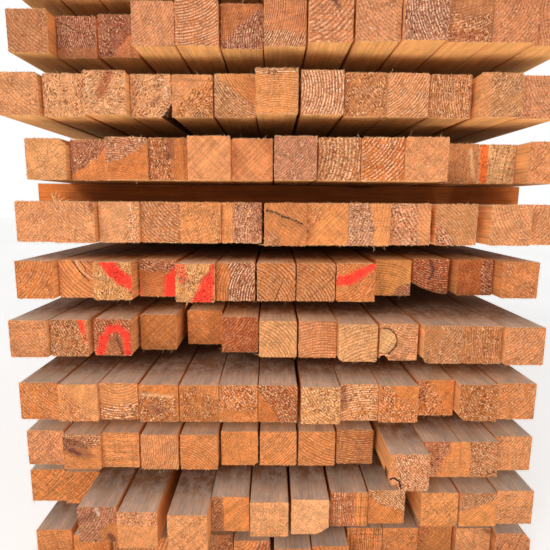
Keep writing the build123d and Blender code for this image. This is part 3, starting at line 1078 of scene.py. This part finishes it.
# The bark pocket in the side of one stud, the curl of wood that hangs below it, and a dark band under the
# curl as its
# painted shadow: path, where the band starts and stops in from the front end, its thickness and its kind.
STRIPS = {
    (8, 9): [
        ([(-24.2, -3), (-24.8, -7), (-24.9, -11), (-24.4, -14)], 9, 22, 1.4, WANE_KIND),
        (
            [(-21, -14), (-15, -12.5), (-9, -14), (-6, -18), (-7.5, -22), (-11, -22.5)],
            1, 14, 1.3, FIBRE_KIND,
        ),
        # A dark band of bark just under the curl: painted shadow.
        ([(-22, -16), (-15, -14.5), (-10, -16), (-8, -19)], 2, 15, 1.2, WANE_KIND),
    ],
}


def stud_values(layer, place, seed):
    """What the materials read of one stud. Its wood, and its end if none is given, are drawn."""
    rng = random.Random(seed)
    end = ENDS.get((layer, place)) or draw_end(rng)
    angle = math.radians(end.hatch[0] + (rng.uniform(-60, 60) if end.hatch == PLAIN_HATCH else 0))
    turned = Vector(TURNED.get(layer, (1, 1, 1)))
    body = Vector(srgb(210, 142, 84)).lerp(Vector(srgb(226, 164, 104)), rng.random())
    return {
        "pith": (*end.pith, end.ring),
        "finish": finish_of(end),
        "zone": end.zone,
        "torn": torn_sides(end),
        "hatch": (math.cos(angle), math.sin(angle), end.hatch[1]),
        "seed": [rng.uniform(0, 90) for _ in range(3)],
        "tone": (*(turned * Vector(TONES[end.tone])), 1),
        "zone_tone": (*(turned * Vector(TONES[end.zone_tone])), 1),
        "body": (*body, 1),
        "bark": (float((layer, place) in BARK_AND_SHADOW), 0, 0),
        **mark_values(end.marks),
    }


for layer in range(LAYERS):
    node = f"stud_layer_{LAYERS - layer:02d}"
    studs = islands_of(node)
    for letter, places in (("a", range(0, 7)), ("b", range(7, PLACES))):
        piece = Piece(f"{node}_{letter}", len(places))
        for row, place in enumerate(places):
            key, seed = (layer, place), 100 * layer + place + 1
            add_stick(
                piece, row, studs[place], 1, seed, stud_values(layer, place, seed),
                STUD_CUTS, STUD_FIBRES, TORN_LAYERS.get(layer, STUD_TEETH),
                STRANDS.get(key, ()), STRIPS.get(key, ()),
            )
        piece.make(MATERIALS, node)

# Stickers

STICKER_LINES = 5
STICKER_CUTS = Cuts((-22, -8, 8, 22), (-11, 0, 11), (2, 8, 30), 90)
STICKER_FIBRES, STICKER_TEETH = 14, 10


def sticker_values(seed):
    """What the materials read of one sticker, whose wood is drawn."""
    rng = random.Random(seed)
    return {
        "pith": (rng.uniform(-60, 60), rng.uniform(20, 80), rng.uniform(2.5, 4.5)),
        "finish": (0.5, 0.2, 0),
        "zone": (0, 0, 0),
        "torn": (1, 1, 0),
        "hatch": (1, 0, 0.3),
        "seed": [rng.uniform(0, 90) for _ in range(3)],
        "tone": (*TONES["tan"], 1),
        "zone_tone": (*TONES["tan"], 1),
        "body": (*srgb(206, 116, 52), 1),
        "bark": (0, 0, 0),
        **mark_values(()),
    }


for line in range(1, STICKER_LINES + 1):
    node = f"sticker_line_{line}"
    sticks = islands_of(node)
    piece = Piece(f"{node}_sticks", len(sticks))
    for row, solid in enumerate(sticks):
        seed = 5000 + 100 * line + row
        values = sticker_values(seed)
        add_stick(piece, row, solid, 0, seed, values, STICKER_CUTS, STICKER_FIBRES, STICKER_TEETH)
    piece.make(MATERIALS, node)

# Floor, lights, camera

FLOOR_GLOW = 0.55
SKY_LIGHT = 0.37


def seen_by_eye(tree):
    """1 for camera, glossy and transmission rays, and 0 for the rays that only carry light."""
    paths = tree.nodes.new("ShaderNodeLightPath")
    found = paths.outputs["Is Camera Ray"]
    for name in ("Is Glossy Ray", "Is Transmission Ray"):
        either = tree.nodes.new("ShaderNodeMath")
        either.operation = "MAXIMUM"
        tree.links.new(found, either.inputs[0])
        tree.links.new(paths.outputs[name], either.inputs[1])
        found = either.outputs[0]
    return found


def floor_material():
    t = Tree("studio_floor")
    place = t.add("TexCoord", {}, "Object")
    tone = t.noise(place, 1.3, 3.0, 0.5)
    t.put(t.shader.inputs["Base Color"], t.mix(tone, srgb(230, 229, 226), srgb(238, 237, 234)))
    t.put(t.shader.inputs["Roughness"], t.ease(tone, 0.3, 0.7, 0.6, 0.8))
    t.shader.inputs["Emission Color"].default_value = (1, 1, 1, 1)
    # The floor glows where the pack doesn't stand on it.
    x, y, _ = t.parts(t.vector("ABSOLUTE", place))
    clear = t.math("MAXIMUM", t.ease(x, 0.33, 0.37), t.ease(y, 1.19, 1.24))
    t.put(t.shader.inputs["Emission Strength"], Value(t, seen_by_eye(t.tree)) * FLOOR_GLOW * clear)
    return t.material


bpy.ops.mesh.primitive_plane_add(size=24, location=(0, 0, 0))
floor = bpy.context.object
floor.name = "studio_floor"
floor.data.materials.append(floor_material())

world = bpy.data.worlds.new("studio")
bpy.context.scene.world = world
world.use_nodes = True
sky = world.node_tree
sky.nodes.clear()
plain, white = sky.nodes.new("ShaderNodeBackground"), sky.nodes.new("ShaderNodeBackground")
plain.inputs[0].default_value = (1, 1, 1, 1)
plain.inputs[1].default_value = SKY_LIGHT
white.inputs[0].default_value = (1, 1, 1, 1)
choose = sky.nodes.new("ShaderNodeMixShader")
out = sky.nodes.new("ShaderNodeOutputWorld")
sky.links.new(seen_by_eye(sky), choose.inputs[0])
sky.links.new(plain.outputs[0], choose.inputs[1])
sky.links.new(white.outputs[0], choose.inputs[2])
sky.links.new(choose.outputs[0], out.inputs[0])


def area_light(name, place, target, size, watts):
    data = bpy.data.lights.new(name, "AREA")
    data.shape, data.energy = "RECTANGLE", watts
    data.size, data.size_y = size
    lamp = bpy.data.objects.new(name, data)
    lamp.location = place
    lamp.rotation_euler = (Vector(target) - Vector(place)).to_track_quat("-Z", "Y").to_euler()
    bpy.context.scene.collection.objects.link(lamp)


area_light("key", (-2.2, -4.6, 2.4), (0, -1.2, 0.45), (1.4, 1.4), 61)
area_light("front_fill", (1.2, -4.6, 0.6), (0, -1.2, 0.3), (2.0, 2.0), 11)
area_light("floor_bounce", (0, -1.72, 0.02), (0, -1.6, 0.9), (2.2, 0.75), 19)

camera_data = bpy.data.cameras.new("camera")
camera_data.lens, camera_data.sensor_width = 29.0, 36.0
camera_data.shift_x, camera_data.shift_y = -0.0005, -0.0031
camera_data.clip_start = 0.05
camera = bpy.data.objects.new("camera", camera_data)
pitch, yaw, roll = (math.radians(degrees) for degrees in (8.96, -0.384, 0.419))
right, forward, up = (
    Matrix.Rotation(roll, 3, "Y") @ Matrix.Rotation(pitch, 3, "X") @ Matrix.Rotation(-yaw, 3, "Z")
)
view = Matrix((right, up, -forward)).transposed().to_4x4()
view.translation = Vector((-0.0100, -1.7605, 0.5114))
camera.matrix_world = view
bpy.context.scene.collection.objects.link(camera)
bpy.context.scene.camera = camera
bpy.context.scene.view_settings.view_transform = "Standard"
